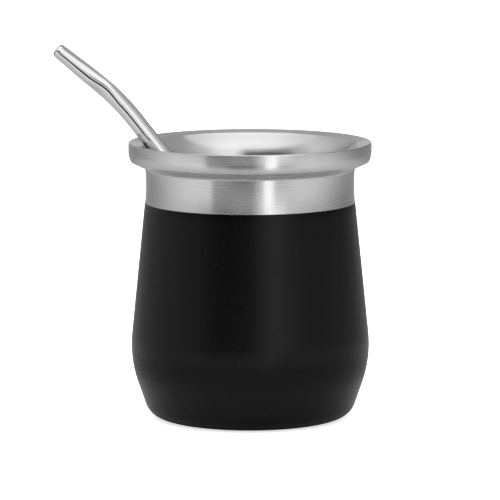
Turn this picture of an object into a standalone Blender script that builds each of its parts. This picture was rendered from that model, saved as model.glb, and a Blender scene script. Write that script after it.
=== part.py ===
# A steel mate cup with a black coated body, and the bent metal straw that stands in it.
# Lengths are in metres and +Z is up. The origin is the centre of the flat base, on the cup's axis.
# The straw leans towards -X, in the plane Y = 0.
import math

import bmesh
import bpy
from mathutils import Vector

MM = 0.001

# Gap between pieces that touch on the real cup
GAP = 0.3 * MM

# Coated body: a flat base that rises a little to the foot, a short lower cone, a belly arc
# and a long upper cone
BELLY_RADIUS = 43.17 * MM
BELLY_HEIGHT = 26.8 * MM
BELLY_ARC = 42.0 * MM
LOWER_TAPER = math.radians(19.2)
UPPER_TAPER = math.radians(5.82)
FOOT_ARC = 7.3 * MM
FOOT_RADIUS = 27.8 * MM
FOOT_RISE = math.radians(4.6)
COAT_TOP = 78.7 * MM
COAT_WALL = 1.0 * MM
COAT_EDGE = 0.15 * MM
BASE_GROOVE_RADIUS = 25.0 * MM
BASE_GROOVE_WIDTH = 1.6 * MM
BASE_GROOVE_DEPTH = 0.4 * MM

# Bare neck between the body and the rim, hollowed by a wide arc
NECK_RADIUS = 37.7 * MM
NECK_HEIGHT = 85.0 * MM
NECK_ARC = 63.0 * MM
NECK_TOP = 91.2 * MM
NECK_EASE = 0.85 * MM

# Wide rim ring: its face curves in below FACE_LOW to a sharp lower edge
RIM_RADIUS = 44.0 * MM
RIM_TOP = 100.5 * MM
FACE_LOW = 97.2 * MM
FACE_ARC = 7.7 * MM
FACE_TURN = math.radians(26.4)
RIM_UNDERSIDE = math.radians(25.3)
RIM_LOWER_EDGE = 0.5 * MM
RIM_UPPER_EDGE = 0.4 * MM
LIP_RADIUS = 39.13 * MM
LIP_HEIGHT = 99.6 * MM

# Inside of the cup: a curved funnel under the lip, then a wall that follows the body
LINER_INSET = 2.9 * MM
LINER_FLOOR = 5.0 * MM
LINER_CORNER = 12.0 * MM
THROAT_HEIGHT = 88.0 * MM

# Straw: a straight tube, one bend and a slightly flattened mouthpiece with a rolled-in end
STRAW_RADIUS = 3.15 * MM
STRAW_WALL = 0.6 * MM
STRAW_LEAN = math.radians(37.9)
STRAW_MOUTH_LEAN = math.radians(50.65)
STRAW_BEND_RADIUS = 80.0 * MM
STRAW_LIP_X = -34.54 * MM
STRAW_CORNER_X = -47.1 * MM
STRAW_MOUTH_LENGTH = 29.2 * MM
MOUTH_HALF_THICK = 2.68 * MM
MOUTH_FLATTENING = 17.0 * MM
MOUTH_ROLL_LENGTH = 1.6 * MM
MOUTH_ROLL_DEPTH = 1.3 * MM

# Strainer at the straw's lower end
STRAINER_RADIUS = 6.0 * MM
STRAINER_LENGTH = 26.0 * MM
STRAINER_SHOULDER = 9.0 * MM
STRAINER_TIP = 5.0 * MM
STRAINER_END_X = 35.2 * MM
HOLE_RADIUS = 0.8 * MM
HOLE_ROWS = 4
HOLES_AROUND = 7

# The straw's bend and its two ends, worked out from the sizes above.
# Distances along the straw are counted from the start of the bend.
BEND_SWEEP = STRAW_MOUTH_LEAN - STRAW_LEAN
BEND_LENGTH = STRAW_BEND_RADIUS * BEND_SWEEP
BEND_CUT = STRAW_BEND_RADIUS * math.tan(BEND_SWEEP / 2)
BEND_START_X = STRAW_CORNER_X + BEND_CUT * math.sin(STRAW_LEAN)
BEND_START_Z = LIP_HEIGHT + (STRAW_LIP_X - BEND_START_X) / math.tan(STRAW_LEAN)
STRAW_TOP = BEND_LENGTH - BEND_CUT + STRAW_MOUTH_LENGTH
STRAW_BOTTOM = (BEND_START_X - STRAINER_END_X) / math.sin(STRAW_LEAN)

# Fineness of the round shapes
CUP_SIDES = 64
TUBE_SIDES = 16
CREASE_ANGLE = math.radians(35.0)


def clear_scene():
    for thing in list(bpy.data.objects):
        bpy.data.objects.remove(thing, do_unlink=True)


def make_material(name, colour, roughness, metallic):
    material = bpy.data.materials.new(name)
    material.use_nodes = True
    shader = material.node_tree.nodes["Principled BSDF"]
    shader.inputs["Base Color"].default_value = (*colour, 1.0)
    shader.inputs["Roughness"].default_value = roughness
    shader.inputs["Metallic"].default_value = metallic
    return material


def add_object(name, mesh_data, material):
    mesh = bpy.data.meshes.new(name)
    mesh_data.to_mesh(mesh)
    mesh_data.free()
    mesh.shade_smooth()
    mesh.set_sharp_from_angle(angle=CREASE_ANGLE)
    mesh.materials.append(material)
    piece = bpy.data.objects.new(name, mesh)
    bpy.context.scene.collection.objects.link(piece)
    return piece


def arc(centre, radius, start, end, steps):
    """Points of an arc in the (r, z) half plane, from angle start to angle end."""
    angles = [start + (end - start) * i / steps for i in range(steps + 1)]
    return [(centre[0] + radius * math.cos(a), centre[1] + radius * math.sin(a)) for a in angles]


def body_outline(inset, floor, corner, top, corner_steps, belly_steps, rise=0.0):
    """Half outline of the body's shape moved in by inset, from the edge of its floor up to top.

    The floor rises by the angle rise outside FOOT_RADIUS."""
    outward = Vector((math.cos(LOWER_TAPER), -math.sin(LOWER_TAPER)))
    down = Vector((-math.sin(LOWER_TAPER), -math.cos(LOWER_TAPER)))
    below = Vector((math.sin(rise), -math.cos(rise)))
    belly_centre = Vector((BELLY_RADIUS - BELLY_ARC, BELLY_HEIGHT))
    belly_low = belly_centre + (BELLY_ARC - inset) * outward
    near = belly_low - corner * outward
    slide = ((Vector((FOOT_RADIUS, floor)) - near).dot(below) - corner) / down.dot(below)
    points = arc(near + slide * down, corner, rise - math.pi / 2, -LOWER_TAPER, corner_steps)
    points += arc(belly_centre, BELLY_ARC - inset, -LOWER_TAPER, UPPER_TAPER, belly_steps)
    last_r, last_z = points[-1]
    points.append((last_r - (top - last_z) * math.tan(UPPER_TAPER), top))
    return points


def neck_outline(bottom, steps):
    """The neck's hollow curve, from bottom up to the rim."""
    heights = [bottom + (NECK_TOP - bottom) * i / steps for i in range(steps + 1)]
    reach = [math.sqrt(NECK_ARC ** 2 - (z - NECK_HEIGHT) ** 2) for z in heights]
    return [(NECK_RADIUS + NECK_ARC - r, z) for r, z in zip(reach, heights)]


def ease_corner(before, corner, after, reach, steps):
    """A corner of an outline replaced by a short curve that starts and ends reach away from it."""
    before, corner, after = Vector(before), Vector(corner), Vector(after)
    start = corner + reach * (before - corner).normalized()
    end = corner + reach * (after - corner).normalized()
    shares = [i / steps for i in range(steps + 1)]
    return [tuple(start.lerp(corner, t).lerp(corner.lerp(end, t), t)) for t in shares]


def rim_outline():
    """The rim ring's section, from its lower edge round the outside to the inner lip."""
    face_centre = Vector((RIM_RADIUS - FACE_ARC, FACE_LOW))
    face_end = Vector((math.cos(FACE_TURN), -math.sin(FACE_TURN)))
    lower_centre = face_centre + (FACE_ARC - RIM_LOWER_EDGE) * face_end
    points = arc(lower_centre, RIM_LOWER_EDGE, RIM_UNDERSIDE - math.pi / 2, -FACE_TURN, 2)
    points += arc(face_centre, FACE_ARC, -FACE_TURN, 0.0, 3)[1:]
    upper_centre = (RIM_RADIUS - RIM_UPPER_EDGE, RIM_TOP - RIM_UPPER_EDGE)
    top_slope = math.atan2(RIM_TOP - LIP_HEIGHT, upper_centre[0] - LIP_RADIUS)
    points += arc(upper_centre, RIM_UPPER_EDGE, 0.0, math.pi / 2 + top_slope, 2)
    points.append((LIP_RADIUS, LIP_HEIGHT))
    return points


def funnel_outline(throat_radius, steps):
    """The rounded funnel from just below the lip down to the throat, where it is upright."""
    widening = LIP_RADIUS - throat_radius
    rise = LIP_HEIGHT - THROAT_HEIGHT
    sweep = 2 * math.atan2(widening, rise)
    radius = rise / math.sin(sweep)
    centre = (throat_radius + radius, THROAT_HEIGHT)
    return arc(centre, radius, math.pi - sweep, math.pi, steps)[1:]


def turn(outline):
    """Spin an outline in the (r, z) half plane about the Z axis into a closed surface."""
    shape = bmesh.new()
    points = [shape.verts.new((r, 0.0, z)) for r, z in outline]
    edges = [shape.edges.new(pair) for pair in zip(points, points[1:])]
    bmesh.ops.spin(shape, geom=points + edges, cent=(0, 0, 0), axis=(0, 0, 1),
                   angle=2 * math.pi, steps=CUP_SIDES, use_merge=True)
    bmesh.ops.remove_doubles(shape, verts=shape.verts, dist=1e-6)
    bmesh.ops.recalc_face_normals(shape, faces=shape.faces)
    return shape


def build_coated_body(material):
    outside = body_outline(0.0, 0.0, FOOT_ARC, COAT_TOP, 6, 9, FOOT_RISE)
    edge_r, edge_z = outside[-1]
    outside[-1] = (edge_r + COAT_EDGE * math.tan(UPPER_TAPER), edge_z - COAT_EDGE)
    outside.append((edge_r - COAT_EDGE, edge_z))
    inside = body_outline(COAT_WALL, COAT_WALL, FOOT_ARC - COAT_WALL, COAT_TOP, 4, 6)
    groove_inner = BASE_GROOVE_RADIUS - BASE_GROOVE_WIDTH / 2
    groove_outer = BASE_GROOVE_RADIUS + BASE_GROOVE_WIDTH / 2
    base = [
        (0.0, 0.0),
        (groove_inner, 0.0),
        (groove_inner, BASE_GROOVE_DEPTH),
        (groove_outer, BASE_GROOVE_DEPTH),
        (groove_outer, 0.0),
        (FOOT_RADIUS, 0.0),
    ]
    outline = base + outside + inside[::-1] + [(0.0, COAT_WALL)]
    return add_object("coated_body", turn(outline), material)


def build_steel_cup(material):
    shell_inset = COAT_WALL + GAP
    ledge = COAT_TOP + GAP
    hidden = body_outline(shell_inset, shell_inset, FOOT_ARC - shell_inset, ledge, 4, 6)
    neck = neck_outline(ledge, 5)
    rim = rim_outline()
    neck[-1:] = ease_corner(neck[-2], neck[-1], rim[0], NECK_EASE, 3)
    liner = body_outline(LINER_INSET, LINER_FLOOR, LINER_CORNER, THROAT_HEIGHT, 5, 6)
    funnel = funnel_outline(liner[-1][0], 5)
    outline = [(0.0, shell_inset)] + hidden + neck + rim
    outline += funnel + liner[-2::-1] + [(0.0, LINER_FLOOR)]
    return add_object("steel_cup", turn(outline), material)


def along_way(lean):
    """Direction along a straw that leans towards -X by this angle from upright."""
    return Vector((-math.sin(lean), 0.0, math.cos(lean)))


def side_way(lean):
    """Direction square to that straw, in its plane."""
    return Vector((math.cos(lean), 0.0, math.sin(lean)))


def straw_frame(distance):
    """Centre and side direction at a distance along the straw."""
    bent = min(max(distance, 0.0), BEND_LENGTH)
    lean = STRAW_LEAN + bent / STRAW_BEND_RADIUS
    start = Vector((BEND_START_X, 0.0, BEND_START_Z))
    pivot = start - STRAW_BEND_RADIUS * side_way(STRAW_LEAN)
    centre = pivot + STRAW_BEND_RADIUS * side_way(lean) + (distance - bent) * along_way(lean)
    return centre, side_way(lean)


def ease(x):
    x = min(max(x, 0.0), 1.0)
    return x * x * (3 - 2 * x)


def straw_section(distance, inset):
    """A distance with the straw's half thickness and half width there, moved in by inset."""
    flat = ease((distance - STRAW_TOP) / MOUTH_FLATTENING + 1.0)
    thick = STRAW_RADIUS + (MOUTH_HALF_THICK - STRAW_RADIUS) * flat
    wide = math.sqrt(2 * STRAW_RADIUS ** 2 - thick ** 2)
    above = distance - STRAW_BOTTOM - STRAINER_LENGTH
    swell = (STRAINER_RADIUS - STRAW_RADIUS) * ease(1.0 - above / STRAINER_SHOULDER)
    return distance, thick + swell - inset, wide + swell - inset


def wall_sections(inset):
    """Sections from the strainer's dome to the start of the rolled end."""
    shoulder = STRAW_BOTTOM + STRAINER_LENGTH
    flat_start = STRAW_TOP - MOUTH_FLATTENING
    flat_length = MOUTH_FLATTENING - MOUTH_ROLL_LENGTH
    places = [STRAW_BOTTOM + STRAINER_TIP]
    places += [shoulder + STRAINER_SHOULDER * i / 5 for i in range(6)]
    places += [BEND_LENGTH * i / 6 for i in range(7)]
    places += [flat_start + flat_length * i / 5 for i in range(6)]
    return [straw_section(place, inset) for place in sorted(places)]


def dome_sections(end, depth, radius):
    """Sections of the strainer's rounded end, from near its pole."""
    turns = [i * math.pi / 8 for i in (1, 2, 3)]
    return [(end + depth * (1 - math.cos(t)), radius * math.sin(t), radius * math.sin(t)) for t in turns]


def mouth_sections():
    """Sections of the mouthpiece's rolled end, from outside to the rim of its opening."""
    sections = []
    for turned in [i * math.pi / 6 for i in (1, 2, 3)]:
        place = STRAW_TOP - MOUTH_ROLL_LENGTH * (1 - math.sin(turned))
        inset = MOUTH_ROLL_DEPTH * (1 - math.cos(turned))
        sections.append((place, *straw_section(place, inset)[1:]))
    inset = MOUTH_ROLL_DEPTH + STRAW_WALL / 4
    sections.append(straw_section(STRAW_TOP - STRAW_WALL / 2, inset))
    return sections


def add_ring(shape, distance, thick, wide):
    centre, side = straw_frame(distance)
    ring = []
    for i in range(TUBE_SIDES):
        turned = 2 * math.pi * i / TUBE_SIDES
        place = centre + side * (thick * math.cos(turned))
        place.y += wide * math.sin(turned)
        ring.append(shape.verts.new(place))
    return ring


def build_straw_tube():
    """The hollow straw before its holes: the outside up to the mouth, then the bore back down."""
    outside = dome_sections(STRAW_BOTTOM, STRAINER_TIP, STRAINER_RADIUS)
    outside += wall_sections(0.0) + mouth_sections()
    bore_end = STRAW_BOTTOM + STRAW_WALL
    bore = dome_sections(bore_end, STRAINER_TIP - STRAW_WALL, STRAINER_RADIUS - STRAW_WALL)
    bore += wall_sections(STRAW_WALL)
    shape = bmesh.new()
    rings = [add_ring(shape, *section) for section in outside + bore[::-1]]
    for low, high in zip(rings, rings[1:]):
        for i in range(TUBE_SIDES):
            j = (i + 1) % TUBE_SIDES
            shape.faces.new((low[i], low[j], high[j], high[i]))
    for ring, end in ((rings[0], STRAW_BOTTOM), (rings[-1], bore_end)):
        pole = shape.verts.new(straw_frame(end)[0])
        for i in range(TUBE_SIDES):
            shape.faces.new((ring[i], ring[(i + 1) % TUBE_SIDES], pole))
    bmesh.ops.recalc_face_normals(shape, faces=shape.faces)
    return shape


def build_hole_cutter(material):
    """Short radial pins, in staggered rows round the strainer, that cut its holes."""
    shape = bmesh.new()
    inner = STRAINER_RADIUS - 3 * STRAW_WALL
    outer = STRAINER_RADIUS + STRAW_WALL
    spacing = (STRAINER_LENGTH - STRAINER_TIP) / HOLE_ROWS
    for row in range(HOLE_ROWS):
        centre, side = straw_frame(STRAW_BOTTOM + STRAINER_TIP + spacing * (row + 0.5))
        for hole in range(HOLES_AROUND):
            turned = 2 * math.pi * (hole + row % 2 / 2) / HOLES_AROUND
            outward = side * math.cos(turned) + Vector((0.0, math.sin(turned), 0.0))
            pose = outward.to_track_quat("Z", "Y").to_matrix().to_4x4()
            pose.translation = centre + outward * (inner + outer) / 2
            bmesh.ops.create_cone(shape, cap_ends=True, segments=8, radius1=HOLE_RADIUS,
                                  radius2=HOLE_RADIUS, depth=outer - inner, matrix=pose)
    cutter = add_object("strainer_hole_cutter", shape, material)
    cutter.hide_render = True
    cutter.display_type = "WIRE"
    return cutter


def build_straw(material):
    straw = add_object("straw", build_straw_tube(), material)
    holes = straw.modifiers.new("strainer holes", "BOOLEAN")
    holes.operation = "DIFFERENCE"
    holes.solver = "EXACT"
    holes.object = build_hole_cutter(material)
    return straw


def main():
    clear_scene()
    brushed_steel = make_material("brushed_steel", (0.62, 0.62, 0.61), 0.35, 1.0)
    black_coat = make_material("black_coat", (0.012, 0.012, 0.013), 0.5, 0.0)
    polished_steel = make_material("polished_steel", (0.72, 0.72, 0.71), 0.12, 1.0)
    build_coated_body(black_coat)
    build_steel_cup(brushed_steel)
    build_straw(polished_steel)


main()
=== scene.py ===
import math

import bmesh
import bpy
from mathutils import Matrix, Vector


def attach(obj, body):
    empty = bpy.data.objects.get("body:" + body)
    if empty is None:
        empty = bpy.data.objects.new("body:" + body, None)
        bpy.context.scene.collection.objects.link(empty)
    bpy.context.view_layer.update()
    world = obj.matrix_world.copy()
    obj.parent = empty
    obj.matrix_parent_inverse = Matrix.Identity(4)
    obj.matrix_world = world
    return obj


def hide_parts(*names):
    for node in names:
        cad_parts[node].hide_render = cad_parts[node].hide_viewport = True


# A steel mate cup with a black coated body, and the bent filter straw that stands in it.
# Sizes in the dictionaries are millimetres and degrees, unless a note there says metres. mm() turns
# millimetres into the frame's metres.

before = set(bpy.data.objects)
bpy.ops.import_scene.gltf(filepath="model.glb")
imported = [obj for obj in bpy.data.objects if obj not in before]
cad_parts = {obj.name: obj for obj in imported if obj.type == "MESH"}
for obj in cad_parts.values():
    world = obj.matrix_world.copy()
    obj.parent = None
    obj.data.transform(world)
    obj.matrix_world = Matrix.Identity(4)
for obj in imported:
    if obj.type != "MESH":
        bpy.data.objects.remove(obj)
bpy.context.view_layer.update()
print("frame loaded:", sorted(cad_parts))


# How close points must be, in mm: at one corner, merged, on one level, and off the turning axis
nearness = {"corner": 0.01, "merge": 0.004, "level": 0.001, "axis": 0.1}
noiseLow, noiseHigh = 0.3, 0.7  # nearly all of a noise texture's values lie between these


def mm(value):
    return value * 0.001


def freshStart():
    if bpy.context.object and bpy.context.object.mode != "OBJECT":
        bpy.ops.object.mode_set(mode="OBJECT")
    bpy.ops.object.select_all(action="DESELECT")


def pickVertices(piece, wanted):  # edit mode: selects the vertices that the test accepts
    bpy.ops.mesh.select_mode(type="VERT")
    bpy.ops.mesh.select_all(action="DESELECT")
    mesh = bmesh.from_edit_mesh(piece.data)
    for vertex in mesh.verts:
        vertex.select = bool(wanted(vertex))
    mesh.select_flush(True)
    bmesh.update_edit_mesh(piece.data)


def finishPiece(piece, material, sharpAngle):
    freshStart()
    piece.select_set(True)
    bpy.context.view_layer.objects.active = piece
    bpy.ops.object.transform_apply(location=True, rotation=True, scale=True)
    bpy.ops.object.shade_smooth_by_angle(angle=math.radians(sharpAngle))
    piece.data.materials.clear()
    piece.data.materials.append(material)


# Outlines in the (radius, height) half plane

def arcPoints(centre, radius, startAngle, endAngle, steps):
    turns = [startAngle + (endAngle - startAngle) * i / steps for i in range(steps + 1)]
    return [(centre[0] + radius * math.cos(t), centre[1] + radius * math.sin(t)) for t in turns]


def turnOutline(name, outline, sides, rounds=()):
    # a plane is merged to one vertex, extruded along the outline and spun round the Z axis
    freshStart()
    bpy.ops.mesh.primitive_plane_add(size=mm(1), location=(mm(outline[0][0]), 0, mm(outline[0][1])))
    piece = bpy.context.object
    piece.name = name
    bpy.ops.object.transform_apply(location=True, rotation=True, scale=True)
    bpy.ops.object.mode_set(mode="EDIT")
    bpy.ops.mesh.merge(type="CENTER")
    for start, end in zip(outline, outline[1:]):
        step = (mm(end[0] - start[0]), 0, mm(end[1] - start[1]))
        bpy.ops.mesh.extrude_region_move(TRANSFORM_OT_translate={"value": step})
    for (radius, height), size, segments in rounds:  # corners eased before the spin
        corner = Vector((mm(radius), 0, mm(height)))
        pickVertices(piece, lambda v: (v.co - corner).length < mm(nearness["corner"]))
        bpy.ops.mesh.bevel(offset=mm(size), segments=segments, affect="VERTICES")
    bpy.ops.mesh.select_all(action="SELECT")
    bpy.ops.mesh.spin(steps=sides, angle=math.tau, center=(0, 0, 0), axis=(0, 0, 1))
    bpy.ops.mesh.select_all(action="SELECT")
    bpy.ops.mesh.remove_doubles(threshold=mm(nearness["merge"]))
    bpy.ops.mesh.normals_make_consistent(inside=False)
    bpy.ops.object.mode_set(mode="OBJECT")
    return piece


# Materials

def hexColour(code):  # sRGB hex to linear
    values = [int(code[i:i + 2], 16) / 255 for i in (1, 3, 5)]
    linear = [v / 12.92 if v <= 0.04045 else ((v + 0.055) / 1.055) ** 2.4 for v in values]
    return (*linear, 1.0)


def addNode(tree, kind, settings=None, inputs=None):
    node = tree.nodes.new(kind)
    for name, value in (settings or {}).items():
        setattr(node, name, value)
    for name, value in (inputs or {}).items():
        if isinstance(value, bpy.types.NodeSocket):
            tree.links.new(value, node.inputs[name])
        else:
            node.inputs[name].default_value = value
    return node


def newMaterial(name):
    material = bpy.data.materials.new(name)
    material.use_nodes = True
    return material, material.node_tree, material.node_tree.nodes["Principled BSDF"]


brushedFinish = {
    "colour": "#c4c4c4", "streakDark": "#bbbbbb", "anisotropy": 0.9,
    "anisotropyTurn": 0.25,  # a quarter turn lays the smear across the streaks
    "roughness": 0.19, "dullSpread": 0.095,  # outside of the cup, and what a dull streak adds
    "linerRoughness": 0.15, "linerSpread": 0.06,  # the same for the inside
    "streakLength": 22.0,  # mm round the cup
    "streakWidth": 0.2,  # mm, real scratches are 0.05 and are drawn coarser to show
    "streakDetail": 2.0, "streakRoughness": 0.5,
    "streakDepth": 0.012, "streakStrength": 0.3,
    "streakTurn": 0.009,  # how far a streak turns its reflection along the ring, as a slope
    "insideBelow": -0.4, "outsideAbove": -0.25,  # cosines of how a surface faces away from the cup's axis
    "linerShare": 0.15,  # share of the streaks' relief that the inside shows
    "linerTone": 0.5,  # the inside's streaks are nearly this one tone
}


def brushedStainless():
    # 304 stainless turned against an abrasive belt: fine rings that smear reflections up and down
    f = brushedFinish
    material, tree, shader = newMaterial("brushed stainless steel")
    place = addNode(tree, "ShaderNodeTexCoord")
    axes = addNode(tree, "ShaderNodeSeparateXYZ", inputs={0: place.outputs["Object"]})
    flat = addNode(tree, "ShaderNodeCombineXYZ", inputs={0: axes.outputs[0], 1: axes.outputs[1]})
    around = addNode(tree, "ShaderNodeVectorMath", {"operation": "NORMALIZE"}, {0: flat.outputs[0]})
    radius = addNode(tree, "ShaderNodeVectorMath", {"operation": "LENGTH"}, {0: flat.outputs[0]})
    rise = addNode(tree, "ShaderNodeMath", {"operation": "ADD"},
                   {0: axes.outputs[2], 1: radius.outputs["Value"]})
    across = addNode(tree, "ShaderNodeMath", {"operation": "MULTIPLY"},
                     {0: rise.outputs[0], 1: 1 / mm(f["streakWidth"])})
    upward = addNode(tree, "ShaderNodeCombineXYZ", inputs={2: across.outputs[0]})
    reach = cup["rimRadius"] / f["streakLength"]
    ring = addNode(tree, "ShaderNodeVectorMath", {"operation": "SCALE"},
                   {0: around.outputs[0], "Scale": reach})
    grain = addNode(tree, "ShaderNodeVectorMath", {"operation": "ADD"},
                    {0: ring.outputs[0], 1: upward.outputs[0]})
    streak = addNode(tree, "ShaderNodeTexNoise",
                     inputs={"Vector": grain.outputs[0], "Scale": 1.0, "Detail": f["streakDetail"],
                             "Roughness": f["streakRoughness"]})
    tone = addNode(tree, "ShaderNodeMapRange",
                   inputs={"Value": streak.outputs[0], "From Min": noiseLow, "From Max": noiseHigh})
    # the inside of the cup faces its axis and is smoother and plainer than the outside
    surface = addNode(tree, "ShaderNodeNewGeometry")
    facing = addNode(tree, "ShaderNodeVectorMath", {"operation": "DOT_PRODUCT"},
                     {0: surface.outputs["Normal"], 1: around.outputs[0]})
    sides = {"Value": facing.outputs["Value"], "From Min": f["insideBelow"], "From Max": f["outsideAbove"]}
    base = addNode(tree, "ShaderNodeMapRange",
                   inputs={**sides, "To Min": f["linerRoughness"], "To Max": f["roughness"]})
    spread = addNode(tree, "ShaderNodeMapRange",
                     inputs={**sides, "To Min": f["linerSpread"], "To Max": f["dullSpread"]})
    dull = addNode(tree, "ShaderNodeMath", {"operation": "MULTIPLY_ADD"},
                   {0: tone.outputs[0], 1: spread.outputs[0], 2: base.outputs[0]})
    outer = addNode(tree, "ShaderNodeMapRange", inputs={**sides, "To Min": f["linerShare"]})
    shown = addNode(tree, "ShaderNodeMapRange",
                    inputs={"Value": outer.outputs[0], "To Min": f["linerTone"], "To Max": tone.outputs[0]})
    shade = addNode(tree, "ShaderNodeMix", {"data_type": "RGBA"},
                    {0: shown.outputs[0], 6: hexColour(f["streakDark"]), 7: hexColour(f["colour"])})
    # each streak leans the mirror a little along the ring, which feathers the edges of reflections
    ringWay = addNode(tree, "ShaderNodeVectorMath", {"operation": "CROSS_PRODUCT"},
                      {0: (0, 0, 1), 1: around.outputs[0]})
    turn = addNode(tree, "ShaderNodeMapRange",
                   inputs={"Value": streak.outputs[0], "To Min": -f["streakTurn"], "To Max": f["streakTurn"]})
    share = addNode(tree, "ShaderNodeMath", {"operation": "MULTIPLY"},
                    {0: turn.outputs[0], 1: outer.outputs[0]})
    sideways = addNode(tree, "ShaderNodeVectorMath", {"operation": "SCALE"},
                       {0: ringWay.outputs[0], "Scale": share.outputs[0]})
    leaned = addNode(tree, "ShaderNodeVectorMath", {"operation": "ADD"},
                     {0: surface.outputs["Normal"], 1: sideways.outputs[0]})
    unit = addNode(tree, "ShaderNodeVectorMath", {"operation": "NORMALIZE"}, {0: leaned.outputs[0]})
    bite = addNode(tree, "ShaderNodeMath", {"operation": "MULTIPLY"},
                   {0: outer.outputs[0], 1: f["streakStrength"]})
    relief = addNode(tree, "ShaderNodeBump",
                     inputs={"Height": streak.outputs[0], "Strength": bite.outputs[0],
                             "Distance": mm(f["streakDepth"]), "Normal": unit.outputs[0]})
    along = addNode(tree, "ShaderNodeTangent", {"direction_type": "RADIAL", "axis": "Z"})
    shader.inputs["Metallic"].default_value = 1.0
    shader.inputs["Anisotropic"].default_value = f["anisotropy"]
    shader.inputs["Anisotropic Rotation"].default_value = f["anisotropyTurn"]
    tree.links.new(shade.outputs[2], shader.inputs["Base Color"])
    tree.links.new(dull.outputs[0], shader.inputs["Roughness"])
    tree.links.new(relief.outputs[0], shader.inputs["Normal"])
    tree.links.new(along.outputs[0], shader.inputs["Tangent"])
    return material


coatFinish = {
    "colour": "#010101", "grainLight": "#050505", "specular": 0.17,
    "roughness": 0.29, "smoother": 0.05, "rougher": 0.06,  # and how far the grain takes it down and up
    "grain": 0.55,  # mm, real powder grains are 0.05 and are drawn coarser to show
    "grainDetail": 2.0, "grainRoughness": 0.6,
    "peel": 2.5, "peelDetail": 1.0,  # mm, the slow waviness of a baked coat
    "speckFrom": 0.35, "speckTo": 0.75,  # the part of the grain that looks lighter
    "relief": 0.02, "reliefStrength": 0.4,
}


def powderCoat():
    # matte black polyester powder, sprayed and baked: a fine even grain that breaks up highlights
    f = coatFinish
    material, tree, shader = newMaterial("black powder coat")
    place = addNode(tree, "ShaderNodeTexCoord")
    grain = addNode(tree, "ShaderNodeTexNoise",
                    inputs={"Vector": place.outputs["Object"], "Scale": 1 / mm(f["grain"]),
                            "Detail": f["grainDetail"], "Roughness": f["grainRoughness"]})
    peel = addNode(tree, "ShaderNodeTexNoise",
                   inputs={"Vector": place.outputs["Object"], "Scale": 1 / mm(f["peel"]),
                           "Detail": f["peelDetail"]})
    speck = addNode(tree, "ShaderNodeMapRange",
                    inputs={"Value": grain.outputs[0], "From Min": f["speckFrom"], "From Max": f["speckTo"]})
    shade = addNode(tree, "ShaderNodeMix", {"data_type": "RGBA"},
                    {0: speck.outputs[0], 6: hexColour(f["colour"]), 7: hexColour(f["grainLight"])})
    dull = addNode(tree, "ShaderNodeMapRange",
                   inputs={"Value": grain.outputs[0], "From Min": noiseLow, "From Max": noiseHigh,
                           "To Min": f["roughness"] - f["smoother"], "To Max": f["roughness"] + f["rougher"]})
    height = addNode(tree, "ShaderNodeMath", {"operation": "ADD"},
                     {0: grain.outputs[0], 1: peel.outputs[0]})
    relief = addNode(tree, "ShaderNodeBump",
                     inputs={"Height": height.outputs[0], "Strength": f["reliefStrength"],
                             "Distance": mm(f["relief"])})
    shader.inputs["Specular IOR Level"].default_value = f["specular"]
    tree.links.new(shade.outputs[2], shader.inputs["Base Color"])
    tree.links.new(dull.outputs[0], shader.inputs["Roughness"])
    tree.links.new(relief.outputs[0], shader.inputs["Normal"])
    return material


tubeFinish = {
    "colour": "#d6d6d6", "ringDark": "#c6c6c6",
    "roughness": 0.07, "smoother": 0.03, "rougher": 0.04,  # and how far the rings take it down and up
    "ringWidth": 0.9, "ringDetail": 3.0,  # mm along the tube
    "ringReach": 25.0,  # mm round the tube
    "bandTurn": 0.02,  # slope by which the mirror bands sit higher round the tube
    "bandSqueeze": 0.17,  # share by which the bands crowd to the tube's middle
}


def polishedStainless():
    # drawn stainless tube, buffed while it turns: mirror bands with faint rings across them
    f = tubeFinish
    material, tree, shader = newMaterial("polished stainless steel")
    place = addNode(tree, "ShaderNodeTexCoord")
    lean = math.radians((straw["lean"] + straw["mouthLean"]) / 2)
    turned = addNode(tree, "ShaderNodeMapping",
                     inputs={"Vector": place.outputs["Object"], "Rotation": (0, lean, 0)})
    reach = 1 / mm(f["ringReach"])
    scaled = addNode(tree, "ShaderNodeVectorMath", {"operation": "MULTIPLY"},
                     {0: turned.outputs[0], 1: (reach, reach, 1 / mm(f["ringWidth"]))})
    rings = addNode(tree, "ShaderNodeTexNoise",
                    inputs={"Vector": scaled.outputs[0], "Scale": 1.0, "Detail": f["ringDetail"]})
    shade = addNode(tree, "ShaderNodeMix", {"data_type": "RGBA"},
                    {0: rings.outputs[0], 6: hexColour(f["ringDark"]), 7: hexColour(f["colour"])})
    dull = addNode(tree, "ShaderNodeMapRange",
                   inputs={"Value": rings.outputs[0], "From Min": noiseLow, "From Max": noiseHigh,
                           "To Min": f["roughness"] - f["smoother"], "To Max": f["roughness"] + f["rougher"]})
    # the tube's normal leans along sideWay, more the further the surface faces aside
    surface = addNode(tree, "ShaderNodeNewGeometry")
    sideWay = (math.cos(lean), 0, math.sin(lean))
    aside = addNode(tree, "ShaderNodeVectorMath", {"operation": "DOT_PRODUCT"},
                    {0: surface.outputs["Normal"], 1: sideWay})
    shift = addNode(tree, "ShaderNodeMath", {"operation": "MULTIPLY_ADD"},
                    {0: aside.outputs["Value"], 1: f["bandSqueeze"], 2: -f["bandTurn"]})
    sideways = addNode(tree, "ShaderNodeVectorMath", {"operation": "SCALE"},
                       {0: sideWay, "Scale": shift.outputs[0]})
    leaned = addNode(tree, "ShaderNodeVectorMath", {"operation": "ADD"},
                     {0: surface.outputs["Normal"], 1: sideways.outputs[0]})
    unit = addNode(tree, "ShaderNodeVectorMath", {"operation": "NORMALIZE"}, {0: leaned.outputs[0]})
    shader.inputs["Metallic"].default_value = 1.0
    tree.links.new(shade.outputs[2], shader.inputs["Base Color"])
    tree.links.new(dull.outputs[0], shader.inputs["Roughness"])
    tree.links.new(unit.outputs[0], shader.inputs["Normal"])
    return material


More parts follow.
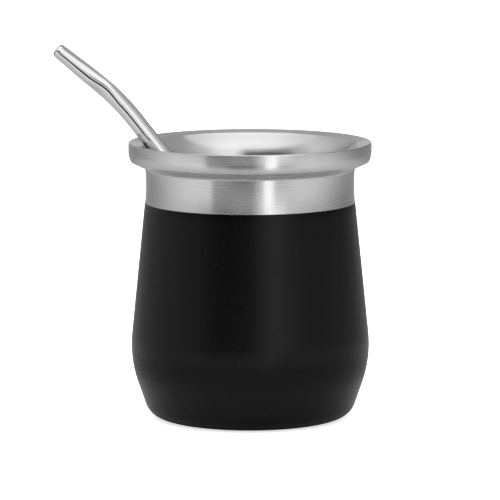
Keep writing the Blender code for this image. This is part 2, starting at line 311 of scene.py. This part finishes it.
# The cup: a coated body round a steel cup with a bare neck and a wide rim

cup = {
    "sides": 192, "sharpAngle": 35,
    "bellyRadius": 43.17, "bellyHeight": 26.8, "bellyArc": 42.0, "lowerTaper": 19.2, "upperTaper": 5.82,
    "footArc": 7.3, "footRadius": 27.8, "footRise": 4.6,
    "coatTop": 78.7, "coatWall": 1.0, "coatGap": 0.3,
    "grooveInner": 24.2, "grooveOuter": 25.8, "grooveDepth": 0.4,
    "neckRadius": 37.7, "neckHeight": 85.0, "neckArc": 63.0, "neckTop": 91.2,
    "rimRadius": 44.0, "rimTop": 100.5, "faceLow": 97.2, "faceArc": 7.7, "faceTurn": 26.4,
    "rimUnderside": 25.3, "rimLowerEdge": 0.5, "rimUpperEdge": 0.4,
    "lipRadius": 39.13, "lipHeight": 99.6,
    "linerInset": 2.9, "linerFloor": 5.0, "linerCorner": 12.0, "throatHeight": 88.0,
    # eased corners: size and segments
    "grooveEase": (0.12, 2), "coatEase": (0.14, 3), "neckEase": (0.85, 6), "lipEase": (0.18, 3),
    "outsideSteps": (14, 30, 16),  # segments of the foot's corner, the belly and the cone above it
    "hiddenSteps": (6, 12, 4), "linerSteps": (16, 24, 14),
    "neckSteps": 20, "rimSteps": (5, 10, 8), "funnelSteps": 24,
}


def bodyOutline(inset, floor, corner, top, steps, footRise=0):
    cornerSteps, bellySteps, coneSteps = steps
    lower = math.radians(cup["lowerTaper"])
    upper = math.radians(cup["upperTaper"])
    outward = Vector((math.cos(lower), -math.sin(lower)))
    down = Vector((-math.sin(lower), -math.cos(lower)))
    bellyCentre = Vector((cup["bellyRadius"] - cup["bellyArc"], cup["bellyHeight"]))
    slope = math.radians(footRise)
    below = Vector((math.sin(slope), -math.cos(slope)))
    near = bellyCentre + (cup["bellyArc"] - inset - corner) * outward
    slide = ((Vector((cup["footRadius"], floor)) - near).dot(below) - corner) / down.dot(below)
    points = arcPoints(near + slide * down, corner, slope - math.pi / 2, -lower, cornerSteps)
    points += arcPoints(bellyCentre, cup["bellyArc"] - inset, -lower, upper, bellySteps)
    lastRadius, lastHeight = points[-1]
    stepUp = (top - lastHeight) / coneSteps
    return points + [(lastRadius - stepUp * i * math.tan(upper), lastHeight + stepUp * i)
                     for i in range(1, coneSteps + 1)]


def coatedBody():
    wall = cup["coatWall"]
    outside = bodyOutline(0, 0, cup["footArc"], cup["coatTop"], cup["outsideSteps"], cup["footRise"])
    inside = bodyOutline(wall, wall, cup["footArc"] - wall, cup["coatTop"], cup["hiddenSteps"])
    grooveStart = (cup["grooveInner"], 0)
    grooveEnd = (cup["grooveOuter"], 0)
    bottom = [(0, 0), grooveStart, (cup["grooveInner"], cup["grooveDepth"]),
              (cup["grooveOuter"], cup["grooveDepth"]), grooveEnd, (cup["footRadius"], 0)]
    rounds = [(grooveStart, *cup["grooveEase"]), (grooveEnd, *cup["grooveEase"]),
              (outside[-1], *cup["coatEase"])]
    outline = bottom + outside + inside[::-1] + [(0, wall)]
    piece = turnOutline("coatedBody", outline, cup["sides"], rounds)
    finishPiece(piece, powderCoat(), cup["sharpAngle"])
    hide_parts("coated_body")
    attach(piece, "root")
    print("coated body turned:", len(piece.data.polygons), "faces")


def rimOutline():
    lowerSteps, faceSteps, upperSteps = cup["rimSteps"]
    turn = math.radians(cup["faceTurn"])
    faceCentre = Vector((cup["rimRadius"] - cup["faceArc"], cup["faceLow"]))
    faceEnd = Vector((math.cos(turn), -math.sin(turn)))
    lowerCentre = faceCentre + (cup["faceArc"] - cup["rimLowerEdge"]) * faceEnd
    underside = math.radians(cup["rimUnderside"] - 90)
    points = arcPoints(lowerCentre, cup["rimLowerEdge"], underside, -turn, lowerSteps)
    points += arcPoints(faceCentre, cup["faceArc"], -turn, 0, faceSteps)[1:]
    upperCentre = (cup["rimRadius"] - cup["rimUpperEdge"], cup["rimTop"] - cup["rimUpperEdge"])
    dish = math.atan2(cup["rimTop"] - cup["lipHeight"], upperCentre[0] - cup["lipRadius"])
    points += arcPoints(upperCentre, cup["rimUpperEdge"], 0, math.pi / 2 + dish, upperSteps)
    return points + [(cup["lipRadius"], cup["lipHeight"])]


def funnelOutline(throatRadius):
    widening = cup["lipRadius"] - throatRadius
    drop = cup["lipHeight"] - cup["throatHeight"]
    sweep = 2 * math.atan2(widening, drop)
    radius = drop / math.sin(sweep)
    centre = (throatRadius + radius, cup["throatHeight"])
    return arcPoints(centre, radius, math.pi - sweep, math.pi, cup["funnelSteps"])[1:]


def neckOutline():
    steps = cup["neckSteps"]
    heights = [cup["coatTop"] + (cup["neckTop"] - cup["coatTop"]) * i / steps for i in range(steps + 1)]
    arcCentre = cup["neckRadius"] + cup["neckArc"]
    return [(arcCentre - math.sqrt(cup["neckArc"] ** 2 - (h - cup["neckHeight"]) ** 2), h) for h in heights]


def steelCup():
    shell = cup["coatWall"] + cup["coatGap"]
    hidden = bodyOutline(shell, shell, cup["footArc"] - shell, cup["coatTop"], cup["hiddenSteps"])
    neck = neckOutline()
    liner = bodyOutline(cup["linerInset"], cup["linerFloor"], cup["linerCorner"],
                        cup["throatHeight"], cup["linerSteps"])
    outline = [(0, shell)] + hidden + neck + rimOutline() + funnelOutline(liner[-1][0])
    outline += liner[-2::-1] + [(0, cup["linerFloor"])]
    rounds = [(neck[-1], *cup["neckEase"]), ((cup["lipRadius"], cup["lipHeight"]), *cup["lipEase"])]
    piece = turnOutline("steelCup", outline, cup["sides"], rounds)
    finishPiece(piece, brushedStainless(), cup["sharpAngle"])
    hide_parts("steel_cup")
    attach(piece, "root")
    print("steel cup turned:", len(piece.data.polygons), "faces")


# The straw: drawn straight up the Z axis, holed, then bent and leaned into place

straw = {
    "sides": 48, "sharpAngle": 40,
    "radius": 3.15, "wall": 0.6, "lean": 37.9, "mouthLean": 50.65, "bendRadius": 80.0,
    "lipX": -34.54, "cornerX": -47.1, "mouthLength": 29.2,
    "mouthHalfThick": 2.68, "flattening": 17.0, "rollLength": 1.6, "rollDepth": 1.3,
    "lipDrops": (0.05, 0.18, 0.4), "lipInsets": (0.1, 0.17, 0.2), "boreEase": 0.06,  # inside the mouth
    "creaseUp": 6.0, "creaseHalf": 8.0, "creaseSkew": 0.24,
    "strainerRadius": 6.0, "strainerLength": 26.0, "shoulder": 9.0, "tip": 5.0, "endX": 35.2,
    "holeRadius": 0.8, "holeRows": 4, "holesAround": 7, "holeSides": 20,
    "shoulderSteps": 12, "bendSteps": 24, "plainSteps": 5, "flatSteps": 14, "domeSteps": 10, "rollSteps": 8,
}


def easeInOut(x):
    x = min(max(x, 0.0), 1.0)
    return x * x * (3 - 2 * x)


def strawPlan():  # heights along the straight tube, counted from the start of the bend
    lean = math.radians(straw["lean"])
    sweep = math.radians(straw["mouthLean"]) - lean
    bendLength = straw["bendRadius"] * sweep
    cut = straw["bendRadius"] * math.tan(sweep / 2)
    startX = straw["cornerX"] + cut * math.sin(lean)
    startZ = cup["lipHeight"] + (straw["lipX"] - startX) / math.tan(lean)
    top = bendLength - cut + straw["mouthLength"]
    bottom = (startX - straw["endX"]) / math.sin(lean)
    return {"lean": lean, "sweep": sweep, "bendLength": bendLength, "start": (startX, 0, startZ),
            "top": top, "bottom": bottom}


def strawSection(plan, height, inset):
    flat = easeInOut((height - plan["top"]) / straw["flattening"] + 1)
    thick = straw["radius"] + (straw["mouthHalfThick"] - straw["radius"]) * flat
    wide = math.sqrt(2 * straw["radius"] ** 2 - thick ** 2)
    above = height - plan["bottom"] - straw["strainerLength"]
    swell = (straw["strainerRadius"] - straw["radius"]) * easeInOut(1 - above / straw["shoulder"])
    return height, thick + swell - inset, wide + swell - inset


def strawWall(plan, inset):
    shoulder = plan["bottom"] + straw["strainerLength"]
    flatStart = plan["top"] - straw["flattening"]
    flatLength = straw["flattening"] - straw["rollLength"]
    swellSteps, bendSteps = straw["shoulderSteps"], straw["bendSteps"]
    plainSteps, flatSteps = straw["plainSteps"], straw["flatSteps"]
    heights = [plan["bottom"] + straw["tip"]]
    heights += [shoulder + straw["shoulder"] * i / swellSteps for i in range(swellSteps + 1)]
    heights += [plan["bendLength"] * i / bendSteps for i in range(bendSteps + 1)]
    heights += [plan["bendLength"] + (flatStart - plan["bendLength"]) * i / plainSteps
                for i in range(1, plainSteps)]
    heights += [flatStart + flatLength * (i + 0.5) / flatSteps for i in range(flatSteps)]
    heights.append(flatStart + flatLength)
    return [strawSection(plan, h, inset) for h in sorted(heights)]


def quarterTurns(steps):  # from nothing to a quarter turn, without the first
    return [i * math.pi / (2 * steps) for i in range(1, steps + 1)]


def strawDome(end, depth, radius):
    turns = quarterTurns(straw["domeSteps"])[:-1]
    return [(end + depth * (1 - math.cos(t)), radius * math.sin(t), radius * math.sin(t)) for t in turns]


def strawMouth(plan):
    sections = []
    for turned in quarterTurns(straw["rollSteps"]):
        height = plan["top"] - straw["rollLength"] * (1 - math.sin(turned))
        inset = straw["rollDepth"] * (1 - math.cos(turned))
        sections.append((height, *strawSection(plan, height, inset)[1:]))
    for drop, extra in zip(straw["lipDrops"], straw["lipInsets"]):
        sections.append(strawSection(plan, plan["top"] - drop, straw["rollDepth"] + extra))
    wall = straw["wall"]
    boreTop = plan["top"] - straw["rollLength"] - wall / 2
    sections.append(strawSection(plan, boreTop, wall + straw["boreEase"]))
    return sections


def drawTube(plan):
    wall = straw["wall"]
    outside = strawDome(plan["bottom"], straw["tip"], straw["strainerRadius"]) + strawWall(plan, 0)
    bore = strawDome(plan["bottom"] + wall, straw["tip"] - wall, straw["strainerRadius"] - wall)
    bore += strawWall(plan, wall)[:-1]
    sections = outside + strawMouth(plan) + bore[::-1]
    freshStart()
    height, thick = sections[0][:2]
    bpy.ops.mesh.primitive_circle_add(vertices=straw["sides"], radius=mm(thick),
                                      location=(0, 0, mm(height)))
    tube = bpy.context.object
    tube.name = "strawTube"
    bpy.ops.object.transform_apply(location=True, rotation=True, scale=True)
    bpy.ops.object.mode_set(mode="EDIT")
    bpy.ops.mesh.edge_face_add()
    bpy.ops.mesh.poke()
    pickVertices(tube, lambda v: v.co.xy.length > mm(nearness["axis"]))
    for before, after in zip(sections, sections[1:]):
        rise = mm(after[0] - before[0])
        bpy.ops.mesh.extrude_region_move(TRANSFORM_OT_translate={"value": (0, 0, rise)})
        bpy.ops.transform.resize(value=(after[1] / before[1], after[2] / before[2], 1),
                                 center_override=(0, 0, mm(after[0])))
    bpy.ops.mesh.edge_face_add()
    bpy.ops.mesh.poke()
    bpy.ops.mesh.select_all(action="SELECT")
    bpy.ops.mesh.normals_make_consistent(inside=False)
    bpy.ops.object.mode_set(mode="OBJECT")
    return tube


def creaseTube(tube, plan):
    # the bender leaves the tube a little oval and askew just above the bend
    middle = plan["bendLength"] / 2 + straw["creaseUp"]
    heights = sorted({round(v.co.z, 7) for v in tube.data.vertices})
    freshStart()
    tube.select_set(True)
    bpy.context.view_layer.objects.active = tube
    bpy.ops.object.mode_set(mode="EDIT")
    for height in heights:
        away = abs(height / mm(1) - middle) / straw["creaseHalf"]
        if away >= 1:
            continue
        skew = straw["creaseSkew"] * math.cos(away * math.pi / 2) ** 2
        longer = math.sqrt(1 + skew * skew / 4) + skew / 2
        turned = math.atan(longer)
        across = Vector((math.cos(turned), math.sin(turned), 0))
        pickVertices(tube, lambda v: abs(v.co.z - height) < mm(nearness["level"]))
        bpy.ops.transform.resize(value=(1 / longer, longer, 1),
                                 orient_type="GLOBAL", orient_matrix_type="GLOBAL",
                                 orient_matrix=(across, (-across.y, across.x, 0), (0, 0, 1)),
                                 center_override=(0, 0, height))
    bpy.ops.object.mode_set(mode="OBJECT")


def cutHoles(tube, plan):
    spacing = (straw["strainerLength"] - straw["tip"]) / straw["holeRows"]
    inner = straw["strainerRadius"] - 3 * straw["wall"]  # the pins reach well through the wall
    outer = straw["strainerRadius"] + straw["wall"]
    reach = (inner + outer) / 2
    freshStart()
    pins = []
    for row in range(straw["holeRows"]):
        height = plan["bottom"] + straw["tip"] + spacing * (row + 0.5)
        for hole in range(straw["holesAround"]):
            turned = math.tau * (hole + row % 2 / 2) / straw["holesAround"]
            spot = (mm(reach * math.cos(turned)), mm(reach * math.sin(turned)), mm(height))
            bpy.ops.mesh.primitive_cylinder_add(vertices=straw["holeSides"], radius=mm(straw["holeRadius"]),
                                                depth=mm(outer - inner), location=spot,
                                                rotation=(0, math.pi / 2, turned))
            pins.append(bpy.context.object)
    for pin in pins:
        pin.select_set(True)
    bpy.ops.object.join()
    cutter = bpy.context.object
    freshStart()
    tube.select_set(True)
    bpy.context.view_layer.objects.active = tube
    drill = tube.modifiers.new("strainer holes", "BOOLEAN")
    drill.operation = "DIFFERENCE"
    drill.solver = "EXACT"
    drill.object = cutter
    bpy.ops.object.modifier_apply(modifier=drill.name)
    bpy.data.objects.remove(cutter, do_unlink=True)


def bendTube(tube, plan):
    # everything above each ring is turned a little about that ring, as a tube bender does
    steps = straw["bendSteps"]
    heights = [v.co.z for v in tube.data.vertices]
    pivot = Vector((0, 0, 0))
    turned = 0.0
    freshStart()
    tube.select_set(True)
    bpy.context.view_layer.objects.active = tube
    bpy.ops.object.mode_set(mode="EDIT")
    for i in range(steps):
        level = plan["bendLength"] * (i + 0.5) / steps
        reach = mm(plan["bendLength"] / steps) * (0.5 if i == 0 else 1)
        pivot = pivot + reach * Vector((-math.sin(turned), 0, math.cos(turned)))
        pickVertices(tube, lambda v: heights[v.index] > mm(level))
        bpy.ops.transform.rotate(value=plan["sweep"] / steps, orient_axis="Y", orient_type="GLOBAL",
                                 center_override=pivot)
        turned += plan["sweep"] / steps
    bpy.ops.object.mode_set(mode="OBJECT")


def bentStraw():
    plan = strawPlan()
    tube = drawTube(plan)
    cutHoles(tube, plan)
    creaseTube(tube, plan)
    bendTube(tube, plan)
    tube.rotation_euler = (0, -plan["lean"], 0)
    tube.location = [mm(v) for v in plan["start"]]
    tube.name = "strawTube"
    finishPiece(tube, polishedStainless(), straw["sharpAngle"])
    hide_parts("straw")
    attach(tube, "root")
    print("straw drawn and bent:", len(tube.data.polygons), "faces")


# Floor, surroundings, light and camera

table = {
    "left": -1.6, "right": 1.6, "front": -0.2, "back": 3.2,  # metres
    "colour": "#ffffff", "roughness": 0.9, "glow": 0.7,
    "fadeFrom": -0.2, "fadeTo": 0.36, "paintedLightFront": 1.4, "paintedShadeBehind": 0.42,  # painted light and shade: reflections see it painted lighter in front and darker behind
    # painted shadow: grey of the board as reflections see it, darker in a ring round the cup where the cup
    # shades it, by distance in metres from the cup
    "paintedShadowTones": [(0.0, 0.7), (0.055, 0.7), (0.09, 0.42), (0.12, 0.44), (0.16, 0.58), (0.25, 0.62), (0.5, 0.74),
              (1.0, 0.74)],
}


def toneRamp(tree, share, stops):  # a colour ramp through the given places and values
    ramp = addNode(tree, "ShaderNodeValToRGB", inputs={0: share})
    ends = ramp.color_ramp.elements
    ends[0].position, ends[0].color = stops[0][0], (stops[0][1],) * 3 + (1,)
    ends[1].position, ends[1].color = stops[-1][0], (stops[-1][1],) * 3 + (1,)
    for place, value in stops[1:-1]:
        ends.new(place).color = (value, value, value, 1)
    return ramp


def paleTable():
    freshStart()
    bpy.ops.mesh.primitive_plane_add(size=1, location=((table["left"] + table["right"]) / 2,
                                                       (table["front"] + table["back"]) / 2, 0))
    floor = bpy.context.object
    floor.name = "paleTable"
    floor.scale = (table["right"] - table["left"], table["back"] - table["front"], 1)
    bpy.ops.object.transform_apply(location=True, rotation=True, scale=True)
    material, tree, shader = newMaterial("matte white board")
    seen = addNode(tree, "ShaderNodeLightPath")  # the camera sees white and reflections see grey with painted shade
    place = addNode(tree, "ShaderNodeTexCoord")
    away = addNode(tree, "ShaderNodeVectorMath", {"operation": "LENGTH"}, {0: place.outputs["Object"]})
    axes = addNode(tree, "ShaderNodeSeparateXYZ", inputs={0: place.outputs["Object"]})
    # painted shadow in a ring round the cup, and painted shade falling off towards the back; only reflections
    # see them
    rings = toneRamp(tree, away.outputs["Value"], table["paintedShadowTones"])
    paintedFalloff = addNode(tree, "ShaderNodeMapRange",
                     inputs={"Value": axes.outputs[1], "From Min": table["fadeFrom"],
                             "From Max": table["fadeTo"], "To Min": table["paintedLightFront"],
                             "To Max": table["paintedShadeBehind"]})
    grey = addNode(tree, "ShaderNodeVectorMath", {"operation": "SCALE"},
                   {0: rings.outputs[0], "Scale": paintedFalloff.outputs[0]})
    shade = addNode(tree, "ShaderNodeMix", {"data_type": "RGBA"},
                    {0: seen.outputs["Is Camera Ray"], 6: grey.outputs[0], 7: hexColour(table["colour"])})
    glow = addNode(tree, "ShaderNodeMath", {"operation": "MULTIPLY"},
                   {0: seen.outputs["Is Camera Ray"], 1: table["glow"]})
    shader.inputs["Emission Color"].default_value = hexColour(table["colour"])
    tree.links.new(glow.outputs[0], shader.inputs["Emission Strength"])
    tree.links.new(shade.outputs[2], shader.inputs["Base Color"])
    shader.inputs["Roughness"].default_value = table["roughness"]
    shader.inputs["Specular IOR Level"].default_value = 0.0
    floor.data.materials.append(material)


studio = {
    # Brightness of the boards round the cup at four heights, from the floor up. Each pair is a bearing,
    # in degrees to the right of the way from the cup to the camera, and a value.
    "front": [(-180, 0.25), (-140, 0.25), (-112, 0.5), (-75, 1.1), (-44, 1.3), (-41, 0.35), (-22, 0.3),
              (-18, 0.02), (4, 0.02), (8, 0.5), (14, 0.6), (16, 2.2), (25, 2.2), (27.5, 0.6), (36, 0.6),
              (46, 1.0), (60, 1.2), (104, 0.4), (130, 0.2), (180, 0.2)],
    "low": [(-180, 0.3), (-140, 0.4), (-112, 1.0), (-88, 1.5), (-64, 1.9), (-49, 2.0), (-43, 1.8),
            (-40.5, 1.1), (-21, 1.1), (-17, 1.75), (5, 1.75), (8, 1.7), (12.5, 1.7), (14.5, 2.15),
            (22.5, 2.15), (25, 0.8), (35, 0.7), (41, 1.15), (58, 1.6), (84, 1.4), (104, 0.7), (120, 0.3),
            (180, 0.3)],
    "mid": [(-180, 0.6), (-160, 0.5), (-141, 0.42), (-111, 0.6), (-91, 0.56), (-73, 0.46), (-57, 0.3),
            (-43, 0.12), (-30, 0.03), (2, 0.03), (11, 0.9), (23, 2.0), (35, 1.8), (43, 0.8), (58, 0.52),
            (68, 0.4), (84, 0.3), (104, 0.25), (130, 0.2), (160, 0.2), (172, 0.5), (180, 0.6)],
    "high": [(-180, 0.5), (-134, 0.7), (-110, 0.95), (-87, 1.1), (-60, 0.7), (-45, 0.25), (-30, 0.08),
             (4, 0.06), (11, 0.8), (18, 1.35), (46, 1.35), (56, 1.0), (74, 0.82), (95, 0.6), (134, 0.5),
             (180, 0.5)],
    # elevations in degrees where each row of boards starts to show over the one below, and where it is full
    "lowFrom": -9.5, "lowFull": -6.5, "midFrom": -7, "midFull": 3, "highFrom": 10, "highFull": 28,
    # two round patches of light overhead: a wide one tipped towards the camera and brighter on that side,
    # and a small one tipped back
    "ceiling": 1.15, "ceilingFront": 1.75, "ceilingReach": 0.6,
    "ceilingTilt": 12, "ceilingFull": 42, "ceilingEdge": 48,
    "rear": 1.7, "rearTilt": -10, "rearFull": 20, "rearEdge": 27,
    "seam": 0.4, "seamHeight": 14, "seamHalf": 2,  # a thin darker line all round
}


def bearingRamp(tree, share, band):  # -180 to 180 degrees
    return toneRamp(tree, share, [((degrees + 180) / 360, value) for degrees, value in band])


def studioSurround():
    world = bpy.data.worlds.new("soft white studio")
    bpy.context.scene.world = world
    world.use_nodes = True
    tree = world.node_tree
    tree.nodes.clear()
    place = addNode(tree, "ShaderNodeTexCoord")
    axes = addNode(tree, "ShaderNodeSeparateXYZ", inputs={0: place.outputs["Generated"]})
    depth = addNode(tree, "ShaderNodeMath", {"operation": "MULTIPLY"}, {0: axes.outputs[1], 1: -1.0})
    bearing = addNode(tree, "ShaderNodeMath", {"operation": "ARCTAN2"},
                      {0: axes.outputs[0], 1: depth.outputs[0]})
    share = addNode(tree, "ShaderNodeMapRange",
                    inputs={"Value": bearing.outputs[0], "From Min": -math.pi, "From Max": math.pi})
    rise = addNode(tree, "ShaderNodeMath", {"operation": "ARCSINE"}, {0: axes.outputs[2]})
    boards = bearingRamp(tree, share.outputs[0], studio["front"]).outputs[0]
    for name in ("low", "mid", "high"):
        above = bearingRamp(tree, share.outputs[0], studio[name])
        lift = addNode(tree, "ShaderNodeMapRange", {"interpolation_type": "SMOOTHSTEP"},
                       {"Value": rise.outputs[0], "From Min": math.radians(studio[name + "From"]),
                        "From Max": math.radians(studio[name + "Full"])})
        boards = addNode(tree, "ShaderNodeMix", {"data_type": "RGBA"},
                         {0: lift.outputs[0], 6: boards, 7: above.outputs[0]}).outputs[2]
    lids = []
    for name in ("ceiling", "rear"):
        tilt = math.radians(studio[name + "Tilt"])
        facing = addNode(tree, "ShaderNodeVectorMath", {"operation": "DOT_PRODUCT"},
                         {0: place.outputs["Generated"], 1: (0, -math.sin(tilt), math.cos(tilt))})
        lids.append(addNode(tree, "ShaderNodeMapRange", {"interpolation_type": "SMOOTHSTEP"},
                            {"Value": facing.outputs["Value"],
                             "From Min": math.cos(math.radians(studio[name + "Edge"])),
                             "From Max": math.cos(math.radians(studio[name + "Full"]))}))
    aside = addNode(tree, "ShaderNodeMath", {"operation": "SUBTRACT"},
                    {0: rise.outputs[0], 1: math.radians(studio["seamHeight"])})
    apart = addNode(tree, "ShaderNodeMath", {"operation": "ABSOLUTE"}, {0: aside.outputs[0]})
    seam = addNode(tree, "ShaderNodeMapRange", {"interpolation_type": "SMOOTHSTEP"},
                   {"Value": apart.outputs[0], "From Max": math.radians(studio["seamHalf"]),
                    "To Min": studio["seam"]})
    joined = addNode(tree, "ShaderNodeVectorMath", {"operation": "SCALE"},
                     {0: boards, "Scale": seam.outputs[0]})
    overhead = addNode(tree, "ShaderNodeMapRange",
                       inputs={"Value": depth.outputs[0], "From Max": studio["ceilingReach"],
                               "To Min": studio["ceiling"], "To Max": studio["ceilingFront"]})
    upper = addNode(tree, "ShaderNodeMix", {"data_type": "RGBA"},
                    {0: lids[0].outputs[0], 6: joined.outputs[0], 7: overhead.outputs[0]})
    whole = addNode(tree, "ShaderNodeMix", {"data_type": "RGBA"},
                    {0: lids[1].outputs[0], 6: upper.outputs[2], 7: (studio["rear"],) * 3 + (1,)})
    around = addNode(tree, "ShaderNodeBackground", inputs={"Color": whole.outputs[2]})
    plain = addNode(tree, "ShaderNodeBackground", inputs={"Color": (1, 1, 1, 1)})
    seen = addNode(tree, "ShaderNodeLightPath")
    split = addNode(tree, "ShaderNodeMixShader",
                    inputs={0: seen.outputs["Is Camera Ray"], 1: around.outputs[0], 2: plain.outputs[0]})
    addNode(tree, "ShaderNodeOutputWorld", inputs={"Surface": split.outputs[0]})


softbox = {"size": 1.2, "place": (-0.15, 0.1, 1.25), "aim": (0, 0, 0.05), "power": 5.0}  # metres and watts


def overheadSoftbox():
    light = bpy.data.lights.new("overheadSoftbox", "AREA")
    light.shape = "SQUARE"
    light.size = softbox["size"]
    light.energy = softbox["power"]
    lamp = bpy.data.objects.new("overheadSoftbox", light)
    lamp.location = softbox["place"]
    away = Vector(softbox["place"]) - Vector(softbox["aim"])
    lamp.rotation_euler = away.to_track_quat("Z", "Y").to_euler()
    lamp.visible_camera = False
    lamp.visible_glossy = False
    bpy.context.scene.collection.objects.link(lamp)


photoCamera = {
    "place": (-0.00006, -1.4423, 0.25996), "pitch": 7.855, "roll": -0.086,  # metres, then degrees
    "focalPixels": 4014.9, "imagePixels": 500, "sensorWidth": 36, "clipStart": 0.05,
}


def photoView():
    data = bpy.data.cameras.new("photoCamera")
    data.sensor_width = photoCamera["sensorWidth"]
    data.lens = photoCamera["focalPixels"] / photoCamera["imagePixels"] * data.sensor_width
    data.clip_start = photoCamera["clipStart"]
    camera = bpy.data.objects.new("photoCamera", data)
    upright = Matrix.Rotation(math.radians(90 - photoCamera["pitch"]), 4, "X")
    tilt = Matrix.Rotation(math.radians(photoCamera["roll"]), 4, "Z")
    camera.matrix_world = Matrix.Translation(photoCamera["place"]) @ upright @ tilt
    bpy.context.scene.collection.objects.link(camera)
    bpy.context.scene.camera = camera


coatedBody()
steelCup()
bentStraw()
paleTable()
studioSurround()
overheadSoftbox()
photoView()
bpy.context.scene.view_settings.view_transform = "Standard"
print("studio set")
